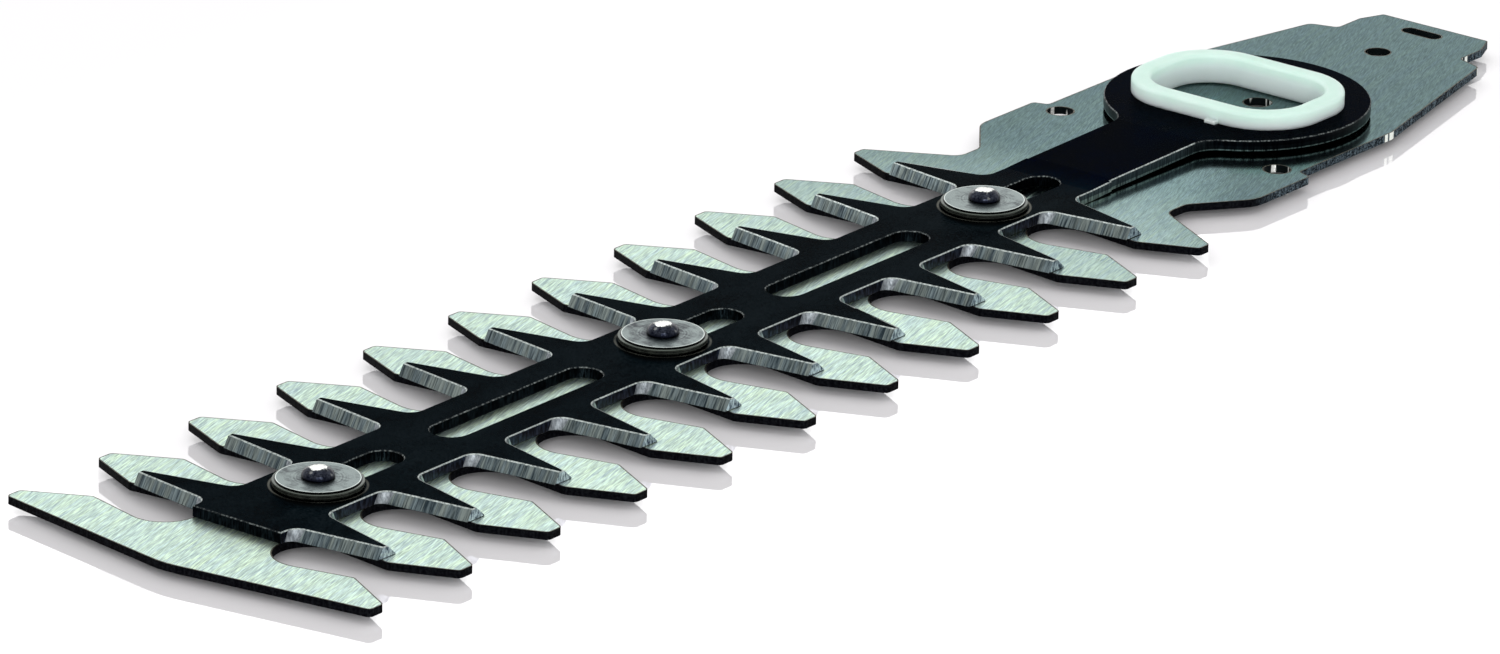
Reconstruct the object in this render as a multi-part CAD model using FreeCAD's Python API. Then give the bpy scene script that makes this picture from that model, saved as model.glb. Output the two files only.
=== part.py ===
import FreeCAD, Part
import math
import os

# Cutting cartridge of a small hedge trimmer: a fixed comb plate, a reciprocating blade
# on top of it, and three riveted guides that hold the two together.
# Millimetres. +X runs from the cutting end to the tang, +Z is up, and the cartridge is
# symmetric about the XZ plane. The origin is the axis of the locating hole in the tang,
# at the underside of the comb plate.

Vec = FreeCAD.Vector
UP = Vec(0, 0, 1)

# --- Comb layout ---
pitch = 19.3                 # from one tooth to the next
tooth_count = 10             # moving teeth on each side, and fixed teeth behind the bow
last_tooth_x = -58.5         # centre line of the rearmost fixed tooth
overcut = 2.0                # how far a cutting body runs past the face that it cuts
hair = 0.01                  # two places nearer than this count as one

# --- Fixed comb plate ---
comb_thickness = 1.2
bow_reach = 6.4              # nose of the bow ahead of its own tooth line
bow_nose_radius = 15.0
comb_tip_y = 33.1            # half width over the tips of the fixed teeth
comb_tip_front = 1.2         # flat of a tip ahead of the tooth line
comb_tip_rear = 1.6          # flat of a tip behind the tooth line
comb_tip_radius = 0.8
barb_front = 5.4             # widest point of a fixed tooth ahead of its line
barb_front_y = 23.5
barb_rear = 6.6              # widest point of a fixed tooth behind its line
barb_rear_y = 23.8
gap_root_y = 7.9             # bottom of the gap between two fixed teeth
gap_radius = 5.4             # round bottom of that gap

# --- Tang of the comb plate ---
throat_y = 19.5              # bottom of the notch behind the last tooth
throat_start = -50.2
throat_end = -45.4
throat_radius = 2.5
last_tip_front = 1.4
last_tip_rear = 1.0
last_tip_y = 32.6
shoulder_start = -36.5
shoulder_y = 26.2
shoulder_radius = 5.0
shoulder_end = -22.8
step_radius = 1.6
tang_y = 23.8
taper_start = 2.3
taper_end = 36.6
taper_end_y = 16.2
taper_radius = 1.5
tongue_start = 38.0
tongue_radius = 1.0
tongue_y = 11.7
tongue_bend = 43.8
tongue_end = 48.0
tongue_end_y = 10.0
locating_hole_d = 4.3
side_hole_x = -23.4
side_hole_spacing = 41.0
side_hole_d = 4.1
rear_hole_x = 32.2
rear_hole_d = 3.9
tail_slot_x = 44.2
tail_slot_length = 7.0
tail_slot_width = 2.5

# --- Moving blade ---
blade_gap = 0.05             # running clearance over the comb plate
blade_thickness = 1.7
blade_front = 9.5            # front face behind the bow's tooth line
spine_y = 8.05
blade_tip_y = 22.3
tooth_front_root = 6.9       # front edge of a moving tooth at the spine, on its top face
tooth_front_tip = 4.8        # the same at the tip
tooth_rear_root = 0.35       # rear edge ahead of the fixed tooth's line, at the spine
tooth_rear_tip = 3.95
front_bevel = 1.1            # ground width of the leading edge
rear_bevel = 1.9             # ground width of the trailing edge
front_corner_top = 2.1       # round corner ahead of a moving tooth, at the top face
front_corner_bottom = 1.6
rear_corner_top = 2.4        # the same behind a moving tooth
rear_corner_bottom = 0.8
arm_y = 7.75
joggle_start = 4.4           # the arm lifts off behind the last tooth line
joggle_length = 6.0
joggle_rise = 0.25
disc_rise = 0.55
disc_x = -5.4
disc_radius = 20.6
disc_blend = 5.0
edge_break = 0.15            # worn chamfer round the top face

# --- Guides: bush, washer and rivet ---
guide_count = 3
guide_offset = 7.7           # guide axis behind the line of the fixed tooth ahead of it
slot_play = 14.0             # how far the slots would let the moving blade slide forward
slot_end_gap = 0.3
bush_d = 5.6
bush_side_gap = 0.1
washer_gap = 0.08            # play under the washer
washer_d = 13.1
washer_thickness = 1.1
washer_chamfer = 0.4
shank_d = 3.8
shank_gap = 0.05
rivet_base_d = 4.9
rivet_base_height = 0.3
rivet_dome_height = 1.25
rivet_flat_d = 2.5
foot_d = 10.0
foot_height = 1.3
foot_chamfer = 0.3
relief_slot_start = 26.0     # lightening slot, from the guide ahead of it
relief_slot_land = 15.5      # what is left solid before the guide behind it
relief_slot_width = 6.0

# --- Drive ring ---
yoke_width = 18.2            # opening that the drive cam fills, along the blade
yoke_length = 26.6           # the same across the blade, where the cam swings
yoke_corner_radius = 7.0
ring_wall = 3.1
ring_height = 2.5
ring_rim_radius = 0.6
sleeve_wall = 1.4
sleeve_gap = 0.05
lip_thickness = 0.35
lip_width = 1.2
gate_y = -4.2
gate_width = 1.9
gate_reach = 1.0
gate_height = 0.6

# Levels and places that follow from the sizes above
blade_z = comb_thickness + blade_gap
disc_under_z = blade_z + disc_rise
disc_top_z = disc_under_z + blade_thickness
bush_height = blade_gap + blade_thickness + washer_gap
washer_z = comb_thickness + bush_height
washer_top_z = washer_z + washer_thickness
bow_x = last_tooth_x - tooth_count * pitch
blade_front_x = bow_x + blade_front
slot_width = bush_d + 2 * bush_side_gap
teeth_per_guide = (tooth_count - 2) // (guide_count - 1)
level_normal = 0.95          # a face whose normal rises more than this counts as level


def tooth_x(i):
    return bow_x + i * pitch


def guide_x(i):
    return tooth_x(1 + i * teeth_per_guide) + guide_offset


def corner_arc(before, corner, after, radius):
    """Tangent points and middle of the arc that rounds one corner of an outline."""
    to_before = (before - corner).normalize()
    to_after = (after - corner).normalize()
    half = to_before.getAngle(to_after) / 2
    reach = radius / math.tan(half)
    centre = corner + (to_before + to_after).normalize() * (radius / math.sin(half))
    middle = centre + (corner - centre).normalize() * radius
    return corner + to_before * reach, middle, corner + to_after * reach


def outline(corners, z=0.0):
    """Closed wire through (x, y, radius) corners; a radius of 0 leaves a corner sharp."""
    points = [Vec(x, y, z) for x, y, radius in corners]
    edges = []
    ends = []
    for i, (x, y, radius) in enumerate(corners):
        if radius > 0:
            start, middle, end = corner_arc(points[i - 1], points[i],
                                            points[(i + 1) % len(points)], radius)
            edges.append(Part.Arc(start, middle, end).toShape())
            ends.append((start, end))
        else:
            ends.append((points[i], points[i]))
    for i in range(len(corners)):
        edges.append(Part.LineSegment(ends[i - 1][1], ends[i][0]).toShape())
    return Part.Wire(Part.__sortEdges__(edges))


def prism(wire, height):
    return Part.Face(wire).extrude(UP * height)


def slot(x, length, width, low, high):
    """Round-ended slot along X, centred on x, as a body to cut with."""
    reach = (length - width) / 2
    middle = Part.makeBox(2 * reach, width, high - low, Vec(x - reach, -width / 2, low))
    ends = [hole(x + end, 0, width, low, high) for end in (-reach, reach)]
    return middle.fuse(ends).removeSplitter()


def hole(x, y, diameter, low, high):
    return Part.makeCylinder(diameter / 2, high - low, Vec(x, y, low), UP)


def mirrored(shape):
    return shape.mirror(Vec(0, 0, 0), Vec(0, 1, 0))


# ---------------------------------------------------------------- fixed comb plate
def comb_side():
    """Corners of one side of the comb plate, from the bow's nose to the tongue."""
    side = [(bow_x - comb_tip_front, comb_tip_y, comb_tip_radius),
            (bow_x + comb_tip_rear, comb_tip_y, comb_tip_radius),
            (bow_x + barb_rear, barb_rear_y, 0)]
    for i in range(1, tooth_count):
        x = tooth_x(i)
        side += [(x - barb_front, barb_front_y, 0),
                 (x - comb_tip_front, comb_tip_y, comb_tip_radius),
                 (x + comb_tip_rear, comb_tip_y, comb_tip_radius),
                 (x + barb_rear, barb_rear_y, 0)]
    side += [(last_tooth_x - barb_front, barb_front_y, 0),
             (last_tooth_x - last_tip_front, last_tip_y, comb_tip_radius),
             (last_tooth_x + last_tip_rear, last_tip_y, comb_tip_radius),
             (throat_start, throat_y, throat_radius),
             (throat_end, throat_y, throat_radius),
             (shoulder_start, shoulder_y, shoulder_radius),
             (shoulder_end, shoulder_y, step_radius / 2),
             (shoulder_end + step_radius / 2, tang_y, step_radius / 2),
             (taper_start, tang_y, 0),
             (taper_end, taper_end_y, taper_radius),
             (tongue_start, tongue_y, tongue_radius),
             (tongue_bend, tongue_y, tongue_radius),
             (tongue_end, tongue_end_y, 0)]
    return side


def comb_gap(i):
    """The gap behind fixed tooth i: straight flanks that run into a round bottom."""
    centre = Vec(tooth_x(i) + pitch / 2, gap_root_y + gap_radius, 0)
    rear_barb = Vec(tooth_x(i) + barb_rear, barb_rear_y, 0)
    front_barb = Vec(tooth_x(i + 1) - barb_front, barb_front_y, 0)

    def tangent(barb, turn):
        away = barb - centre
        angle = math.atan2(away.y, away.x) + turn * math.acos(gap_radius / away.Length)
        return centre + Vec(math.cos(angle), math.sin(angle), 0) * gap_radius

    start = tangent(rear_barb, 1)
    end = tangent(front_barb, -1)
    root = Vec(centre.x, gap_root_y, 0)
    mouth = Vec(centre.x, comb_tip_y, 0)
    wire = Part.Wire([Part.LineSegment(rear_barb, start).toShape(),
                      Part.Arc(start, root, end).toShape(),
                      Part.LineSegment(end, front_barb).toShape(),
                      Part.LineSegment(front_barb, mouth).toShape(),
                      Part.LineSegment(mouth, rear_barb).toShape()])
    wire.translate(Vec(0, 0, -overcut))
    return prism(wire, comb_thickness + 2 * overcut)


def lower_blade():
    side = comb_side()
    other_side = [(x, -y, radius) for x, y, radius in reversed(side)]
    nose = [(bow_x - bow_reach, 0, bow_nose_radius)]
    plate = prism(outline(nose + side + other_side), comb_thickness)
    low = -overcut
    high = comb_thickness + overcut
    cuts = []
    for i in range(tooth_count):
        gap = comb_gap(i)
        cuts += [gap, mirrored(gap)]
    cuts.append(hole(0, 0, locating_hole_d, low, high))
    cuts.append(hole(rear_hole_x, 0, rear_hole_d, low, high))
    for y in (-side_hole_spacing / 2, side_hole_spacing / 2):
        cuts.append(hole(side_hole_x, y, side_hole_d, low, high))
    for i in range(guide_count):
        cuts.append(hole(guide_x(i), 0, shank_d + 2 * shank_gap, low, high))
    tail_slot = slot(0, tail_slot_length, tail_slot_width, low, high)
    tail_slot.rotate(Vec(0, 0, 0), UP, 90)
    tail_slot.translate(Vec(tail_slot_x, 0, 0))
    cuts.append(tail_slot)
    return plate.cut(cuts)


# ---------------------------------------------------------------- moving blade
def blade_gap_section(i, height):
    """Outline of the gap between moving teeth i and i + 1 at a height in the blade."""
    share = height / blade_thickness
    front_shift = front_bevel * (1 - share)
    rear_shift = rear_bevel * (1 - share)
    tooth_height = blade_tip_y - spine_y
    beyond = (tooth_height + overcut) / tooth_height
    rear_root = tooth_x(i) - tooth_rear_root + rear_shift
    rear_out = rear_root - (tooth_rear_tip - tooth_rear_root) * beyond
    front_root = tooth_x(i + 1) - tooth_front_root - front_shift
    front_out = front_root + (tooth_front_root - tooth_front_tip) * beyond
    out_y = blade_tip_y + overcut
    if i == 0:
        rear_root = rear_out = blade_front_x - 2 * overcut
        corner_rear = 0
    else:
        corner_rear = rear_corner_bottom + (rear_corner_top - rear_corner_bottom) * share
    if i == tooth_count:
        front_root = front_out = last_tooth_x + pitch
        corner_front = 0
    else:
        corner_front = front_corner_bottom + (front_corner_top - front_corner_bottom) * share
    return outline([(rear_out, out_y, 0), (rear_root, spine_y, corner_rear),
                    (front_root, spine_y, corner_front), (front_out, out_y, 0)],
                   blade_z + height)


def blade_tooth_gap(i):
    sections = [blade_gap_section(i, -overcut / 4),
                blade_gap_section(i, blade_thickness + overcut / 4)]
    return Part.makeLoft(sections, True, True)


def blade_plan():
    """The blade seen from above, without its gaps, as a tall prism."""
    height = disc_top_z + overcut
    comb_end = last_tooth_x + pitch / 2
    block = Part.makeBox(comb_end - blade_front_x, 2 * blade_tip_y, height,
                         Vec(blade_front_x, -blade_tip_y, 0))
    arm = Part.makeBox(disc_x - last_tooth_x, 2 * arm_y, height, Vec(last_tooth_x, -arm_y, 0))
    disc = hole(disc_x, 0, 2 * disc_radius, 0, height)
    tail = arm.fuse(disc).removeSplitter()
    joint_x = disc_x - math.sqrt(disc_radius ** 2 - arm_y ** 2)
    corners = [edge for edge in tail.Edges
               if abs(edge.BoundBox.XMin - joint_x) < hair and edge.BoundBox.ZLength > hair]
    tail = tail.makeFillet(disc_blend, corners)
    return block.fuse(tail)


def blade_profile():
    """The blade seen from the side: flat over the comb, then lifted towards the disc."""
    bend = last_tooth_x + joggle_start
    bend_end = bend + joggle_length
    flat = disc_x - disc_radius
    tail = disc_x + disc_radius + overcut
    start = blade_front_x - overcut
    under = [(start, 0), (bend, 0), (bend_end, joggle_rise), (flat, disc_rise), (tail, disc_rise)]
    low = [Vec(x, 0, blade_z + rise) for x, rise in under]
    high = [Vec(x, 0, blade_z + rise + blade_thickness) for x, rise in reversed(under)]
    face = Part.Face(Part.makePolygon(low + high + [low[0]]))
    face.translate(Vec(0, -comb_tip_y, 0))
    return face.extrude(Vec(0, 2 * comb_tip_y, 0))


def upper_blade():
    blade = blade_plan().common(blade_profile())
    top = disc_top_z + overcut
    cuts = []
    for i in range(tooth_count + 1):
        gap = blade_tooth_gap(i)
        cuts += [gap, mirrored(gap)]
    for i in range(guide_count):
        length = slot_play + bush_d + 2 * slot_end_gap
        cuts.append(slot(guide_x(i) + slot_play / 2, length, slot_width, 0, top))
    for i in range(guide_count - 1):
        start = guide_x(i) + relief_slot_start
        end = guide_x(i + 1) - relief_slot_land
        cuts.append(slot((start + end) / 2, end - start, relief_slot_width, 0, top))
    cuts.append(yoke_body(sleeve_wall + sleeve_gap, 0, top))
    return break_top_edges(blade.cut(cuts))


def break_top_edges(blade):
    """Chamfer the edges where the top face meets a wall or a ground flank."""
    rims = []
    for edge in blade.Edges:
        lifts = [face.normalAt(0, 0).z for face in blade.ancestorsOfType(edge, Part.Face)]
        if max(lifts) > level_normal and min(lifts) < level_normal:
            rims.append(edge)
    return blade.makeChamfer(edge_break, rims)


# ---------------------------------------------------------------- drive ring
def yoke_body(grow, low, high):
    """Upright body with the outline of the drive opening, made larger all round by grow."""
    half_x = yoke_width / 2 + grow
    half_y = yoke_length / 2 + grow
    corners = [(disc_x + sx * half_x, sy * half_y, yoke_corner_radius + grow)
               for sx, sy in ((1, 1), (-1, 1), (-1, -1), (1, -1))]
    return prism(outline(corners, low), high - low)


def drive_ring():
    """Moulded ring: a tall collar on the disc, a sleeve through it and a lip below it."""
    top = disc_top_z + ring_height
    collar = yoke_body(ring_wall, disc_top_z, top).cut(yoke_body(0, disc_top_z, top))
    rims = [edge for edge in collar.Edges if edge.BoundBox.ZMin > top - hair]
    collar = collar.makeFillet(ring_rim_radius, rims)
    low = disc_under_z - lip_thickness
    opening = yoke_body(0, low, disc_top_z)
    sleeve = yoke_body(sleeve_wall, low, disc_top_z).cut(opening)
    lip = yoke_body(sleeve_wall + lip_width, low, disc_under_z).cut(opening)
    gate_x = disc_x - yoke_width / 2 - ring_wall - gate_reach
    gate = Part.makeBox(gate_reach + ring_wall / 2, gate_width, gate_height,
                        Vec(gate_x, gate_y - gate_width / 2, disc_top_z))
    return collar.fuse([sleeve, lip, gate]).removeSplitter()


# ---------------------------------------------------------------- guides
def turned(profile, x):
    """Revolve a closed (radius, z) profile about the vertical axis at x."""
    points = [Vec(radius, 0, z) for radius, z in profile]
    face = Part.Face(Part.makePolygon(points + [points[0]]))
    solid = face.revolve(Vec(0, 0, 0), UP, 360)
    solid.translate(Vec(x, 0, 0))
    return solid


def guide_bush(x):
    bore = hole(x, 0, shank_d + 2 * shank_gap, comb_thickness, washer_z)
    return hole(x, 0, bush_d, comb_thickness, washer_z).cut(bore)


def washer(x):
    bore_r = shank_d / 2 + shank_gap
    rim_r = washer_d / 2
    return turned([(bore_r, washer_z), (rim_r - washer_chamfer / 2, washer_z),
                   (rim_r, washer_z + washer_chamfer / 2),
                   (rim_r, washer_top_z - washer_chamfer),
                   (rim_r - washer_chamfer, washer_top_z), (bore_r, washer_top_z)], x)


def rivet(x):
    """Flat foot under the comb plate, plain shank, and a head formed over the washer."""
    foot = turned([(0, -foot_height), (foot_d / 2 - foot_chamfer, -foot_height),
                   (foot_d / 2, foot_chamfer - foot_height), (foot_d / 2, 0), (0, 0)], x)
    shank = hole(x, 0, shank_d, 0, washer_top_z)
    base_r = rivet_base_d / 2
    flat_r = rivet_flat_d / 2
    rim_z = washer_top_z + rivet_base_height
    crown_z = rim_z + rivet_dome_height
    bulge = Vec(flat_r + (base_r - flat_r) * 0.8, 0, rim_z + rivet_dome_height * 0.6)
    corners = [Vec(0, 0, washer_top_z), Vec(base_r, 0, washer_top_z), Vec(base_r, 0, rim_z),
               Vec(flat_r, 0, crown_z), Vec(0, 0, crown_z)]
    edges = [Part.LineSegment(corners[0], corners[1]).toShape(),
             Part.LineSegment(corners[1], corners[2]).toShape(),
             Part.Arc(corners[2], bulge, corners[3]).toShape(),
             Part.LineSegment(corners[3], corners[4]).toShape(),
             Part.LineSegment(corners[4], corners[0]).toShape()]
    head = Part.Face(Part.Wire(edges)).revolve(Vec(0, 0, 0), UP, 360)
    head.translate(Vec(x, 0, 0))
    return shank.fuse([foot, head]).removeSplitter()


def main():
    parts = {"lower_blade": lower_blade(),
             "upper_blade": upper_blade(),
             "drive_ring": drive_ring()}
    for i, place in enumerate(("front", "middle", "rear")):
        x = guide_x(i)
        parts["guide_bush_" + place] = guide_bush(x)
        parts["washer_" + place] = washer(x)
        parts["rivet_" + place] = rivet(x)
    os.makedirs("parts", exist_ok=True)
    for name, shape in parts.items():
        shape.exportStep("parts/" + name + ".step")
        print(name, "solids", len(shape.Solids), "valid", shape.isValid(),
              "volume", round(shape.Volume, 1))


main()
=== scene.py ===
import bpy
import bmesh
import math
from mathutils import Euler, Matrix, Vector


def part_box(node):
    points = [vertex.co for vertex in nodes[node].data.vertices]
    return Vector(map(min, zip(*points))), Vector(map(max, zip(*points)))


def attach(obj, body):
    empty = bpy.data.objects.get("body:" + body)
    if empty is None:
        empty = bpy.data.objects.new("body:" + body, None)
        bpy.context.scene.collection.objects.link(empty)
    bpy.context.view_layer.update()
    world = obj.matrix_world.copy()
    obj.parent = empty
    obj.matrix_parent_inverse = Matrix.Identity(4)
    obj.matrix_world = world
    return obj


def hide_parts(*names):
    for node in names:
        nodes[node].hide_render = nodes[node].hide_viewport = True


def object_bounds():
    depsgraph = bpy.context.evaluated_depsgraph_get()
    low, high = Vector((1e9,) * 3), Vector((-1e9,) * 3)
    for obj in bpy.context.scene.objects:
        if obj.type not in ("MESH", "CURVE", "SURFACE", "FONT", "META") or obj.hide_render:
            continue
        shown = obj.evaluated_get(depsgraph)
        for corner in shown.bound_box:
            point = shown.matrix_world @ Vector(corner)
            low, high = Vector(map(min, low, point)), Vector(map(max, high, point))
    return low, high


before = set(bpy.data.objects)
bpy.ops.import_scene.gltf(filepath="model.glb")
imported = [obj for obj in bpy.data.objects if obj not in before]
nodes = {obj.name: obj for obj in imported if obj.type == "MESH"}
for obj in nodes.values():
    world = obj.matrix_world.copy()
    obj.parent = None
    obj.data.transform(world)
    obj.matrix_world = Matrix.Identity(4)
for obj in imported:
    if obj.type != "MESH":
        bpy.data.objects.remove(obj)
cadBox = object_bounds()
mm = 0.001
places = ("front", "middle", "rear")   # the three guides, in order along the blade
print("frame loaded:", len(nodes), "nodes")


# What the pieces are set out from
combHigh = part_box("lower_blade")[1]
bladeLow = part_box("upper_blade")[0]
ringLow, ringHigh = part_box("drive_ring")
washerLow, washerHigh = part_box("washer_front")
rivetLow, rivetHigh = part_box("rivet_front")
guideX = [sum(corner.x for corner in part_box("rivet_" + place)) / 2 for place in places]
floorZ = cadBox[0].z


# Camera: a long lens, low, ahead of the front end and to one side
camera = {
    "place": (-1.36389, -0.95807, 0.57341),
    "turn": (69.850, -1.085, -51.847),       # degrees about X, Y and Z
    "lens": 273.7, "sensor": 36.0,           # both in mm
    "near": 0.05, "far": 20.0,               # in metres, what it sees
}


def makeCamera(settings):
    data = bpy.data.cameras.new("camera")
    data.lens = settings["lens"]
    data.sensor_width = settings["sensor"]
    data.clip_start = settings["near"]
    data.clip_end = settings["far"]
    view = bpy.data.objects.new("camera", data)
    view.location = settings["place"]
    view.rotation_euler = Euler([math.radians(a) for a in settings["turn"]])
    bpy.context.scene.collection.objects.link(view)
    bpy.context.scene.camera = view


makeCamera(camera)


# Short helpers for node trees
def addNode(tree, kind, inputs=None, **settings):
    node = tree.nodes.new(kind)
    for name, value in settings.items():
        setattr(node, name, value)
    for name, value in (inputs or {}).items():
        if isinstance(value, bpy.types.NodeSocket):
            tree.links.new(value, node.inputs[name])
        else:
            node.inputs[name].default_value = value
    return node


def newMaterial(name, values):
    material = bpy.data.materials.new(name)
    material.use_nodes = True
    tree = material.node_tree
    shader = tree.nodes["Principled BSDF"]
    for socket, value in values.items():
        shader.inputs[socket].default_value = value
    return material, tree, shader


def objectPlace(tree):
    return addNode(tree, "ShaderNodeTexCoord").outputs["Object"]


def noise(tree, place, scale, detail=2.0, rough=0.5, turn=0.0):
    # scale is in lumps per metre along X, Y and Z; turn is in degrees about Z
    mapping = addNode(tree, "ShaderNodeMapping", {"Vector": place, "Scale": scale})
    if turn:
        mapping.vector_type = "TEXTURE"
        mapping.inputs["Rotation"].default_value = (0, 0, math.radians(turn))
        mapping.inputs["Scale"].default_value = [1 / s for s in scale]
    return addNode(tree, "ShaderNodeTexNoise",
                   {"Vector": mapping.outputs[0], "Scale": 1.0, "Detail": detail,
                    "Roughness": rough}).outputs["Fac"]


def noiseAlong(tree, value, scale, detail):
    return addNode(tree, "ShaderNodeTexNoise", {"W": value, "Scale": scale, "Detail": detail},
                   noise_dimensions="1D").outputs["Fac"]


def levels(tree, factor, low, high, toLow=0.0, toHigh=1.0):
    return addNode(tree, "ShaderNodeMapRange",
                   {"Value": factor, "From Min": low, "From Max": high,
                    "To Min": toLow, "To Max": toHigh}).outputs["Result"]


def maths(tree, operation, a, b=0.0):
    return addNode(tree, "ShaderNodeMath", {0: a, 1: b}, operation=operation).outputs[0]


def vectors(tree, operation, a, b):
    return addNode(tree, "ShaderNodeVectorMath", {0: a, 1: b}, operation=operation).outputs


def weighted(tree, *shares):
    total = 0.0
    for factor, share in shares:
        total = maths(tree, "ADD", maths(tree, "MULTIPLY", factor, share), total)
    return total


def layered(tree, place, layers):
    # A layer holds what noise() is given and, last, its share of the sum
    return weighted(tree, *[(noise(tree, place, *layer[:-1]), layer[-1]) for layer in layers])


def mixColour(tree, factor, a, b, blend="MIX"):
    # sockets by number, as those of the colours share their names with other kinds
    return addNode(tree, "ShaderNodeMix", {0: factor, 6: a, 7: b},
                   data_type="RGBA", blend_type=blend).outputs[2]


def axes(tree, place):
    return addNode(tree, "ShaderNodeSeparateXYZ", {"Vector": place}).outputs


def between(tree, value, low, high, soft):
    # 1 inside a range and 0 outside it, with soft ends
    rise = levels(tree, value, low - soft, low + soft)
    return maths(tree, "MULTIPLY", rise, levels(tree, value, high - soft, high + soft, 1.0, 0.0))


def seenByCamera(tree):
    # 1 for what the camera sees, itself or mirrored, and 0 for the light that falls on things
    path = addNode(tree, "ShaderNodeLightPath").outputs
    return maths(tree, "MAXIMUM", path["Is Camera Ray"],
                 maths(tree, "MAXIMUM", path["Is Glossy Ray"], path["Is Transmission Ray"]))


def colour(red, green, blue):
    return (red, green, blue, 1.0)


def finish(tree, shader, base, rough, height, depth, strength):
    tree.links.new(base, shader.inputs["Base Color"])
    tree.links.new(rough, shader.inputs["Roughness"])
    node = addNode(tree, "ShaderNodeBump", {"Height": height, "Distance": depth, "Strength": strength})
    tree.links.new(node.outputs[0], shader.inputs["Normal"])


def speckled(name, tones):
    # Two colours mixed by a grain, which also sets the roughness and the bumps
    tone = tones[name]
    material, tree, shader = newMaterial(name, tone.get("shader", {"Metallic": 1.0}))
    grain = layered(tree, objectPlace(tree), tone["grain"])
    base = mixColour(tree, levels(tree, grain, *tone["mix"]), tone["dark"], tone["light"])
    finish(tree, shader, base, levels(tree, grain, *tone["rough"]), grain, *tone["bump"])
    return material


# In the settings below, a noise is lumps per metre along X, Y and Z, then detail, roughness and
# degrees about Z. A grain is a sum of noises, each with its share at the end. A mix or a fade is the
# two ends of a range, a fade's along X. A rough is such a range and what its ends come out as. A bump
# is a depth and a strength.


# Bare steel of the comb: ground bright over the teeth, finer and much darker over the tang, partly a
# duller finish and partly painted shade, as the light falls off towards the tang
steel = {
    "teethGrain": (((440, 9800, 300), 3.0, 0.6, 12, 0.66), ((340, 6200, 300), 1.0, 0.5, 19, 0.34)),
    "teethMix": (0.40, 0.60),
    "teethDark": colour(0.29, 0.36, 0.35), "teethLight": colour(0.71, 0.85, 0.72),
    "tangGrain": (((600, 10500, 300), 3.0, 0.6, 22, 0.76), ((420, 6400, 300), 1.0, 0.5, 18, 0.24)),
    "tangMix": (0.38, 0.62),
    "tangDark": colour(0.014, 0.038, 0.041), "tangLight": colour(0.130, 0.202, 0.204),
    # the fade also carries the painted shade that darkens the tang
    "fade": (-0.104, -0.040),                # where the teeth's finish goes over into the tang's
    "patch": ((110, 2100, 300), 2.0, 0.6, 12), "patchMix": (0.32, 0.68),
    "coolTint": colour(0.88, 0.90, 1.0), "warmTint": colour(1.0, 1.0, 0.88),
    "slotShadeX": (-0.066, -0.050), "slotShadeY": (-0.0045, 0.0045),     # painted shade, dark, behind the rear guide, seen through the slot
    "slotShadeSoft": 0.5 * mm, "slotShadeMix": (0.62, 0.50), "slotShade": colour(0.004, 0.006, 0.008),
    "rough": (0.0, 1.0, 0.40, 0.13), "bump": (0.004 * mm, 0.3),
    "shader": {"Metallic": 1.0, "Specular Tint": colour(0.84, 0.96, 0.97)},
}


def brushedSteel():
    material, tree, shader = newMaterial("brushed steel", steel["shader"])
    place = objectPlace(tree)
    parts = axes(tree, place)
    teethGrain = levels(tree, layered(tree, place, steel["teethGrain"]), *steel["teethMix"])
    tangGrain = levels(tree, layered(tree, place, steel["tangGrain"]), *steel["tangMix"])
    teeth = mixColour(tree, teethGrain, steel["teethDark"], steel["teethLight"])
    dull = mixColour(tree, tangGrain, steel["tangDark"], steel["tangLight"])
    # painted shade: towards the tang the colour goes much darker, as well as the finish changing
    tang = levels(tree, parts["X"], *steel["fade"])
    patch = noise(tree, place, *steel["patch"])
    tint = mixColour(tree, levels(tree, patch, *steel["patchMix"]), steel["coolTint"], steel["warmTint"])
    base = mixColour(tree, 1.0, mixColour(tree, tang, teeth, dull), tint, "MULTIPLY")
    # painted shade: a patchy dark area on the comb, under the rear slot behind the rear guide
    slotShade = maths(tree, "MULTIPLY", between(tree, parts["X"], *steel["slotShadeX"], steel["slotShadeSoft"]),
                  between(tree, parts["Y"], *steel["slotShadeY"], steel["slotShadeSoft"]))
    slotShade = maths(tree, "MULTIPLY", slotShade, levels(tree, patch, *steel["slotShadeMix"]))
    base = mixColour(tree, slotShade, base, steel["slotShade"])
    finish(tree, shader, base, levels(tree, tang, *steel["rough"]), teethGrain, *steel["bump"])
    return material


# Sheared edge of the comb: near black at the teeth, gritty grey on the tang
edge = {
    "grain": (((2600, 2600, 350), 3.0, 0.6, 0.4), ((3400, 3400, 3400), 2.0, 0.6, 0.6)),
    "mix": (0.46, 0.62),
    "teeth": (colour(0.001, 0.001, 0.002), colour(0.008, 0.009, 0.011)),
    "tang": (colour(0.004, 0.007, 0.011), colour(0.15, 0.20, 0.23)),
    "fade": (-0.037, -0.031),                # where the grey edge starts
    # bright flats on one side: from where to where along X, and the levels along Y
    "marks": ((0.0004, 0.0012), (0.0016, 0.0029), (0.0358, 0.0386), (0.0392, 0.0399)),
    "markSoft": 0.06 * mm, "markY": (-0.008, -0.006, 1.0, 0.0), "mark": colour(0.86, 0.90, 0.84),
    "rough": (0.3, 0.7, 0.6, 0.42), "bump": (0.05 * mm, 0.7),
    "shader": {"Metallic": 0.6, "IOR": 1.4, "Specular IOR Level": 0.1,
               "Specular Tint": colour(0.3, 0.3, 0.3)},
}


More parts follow.
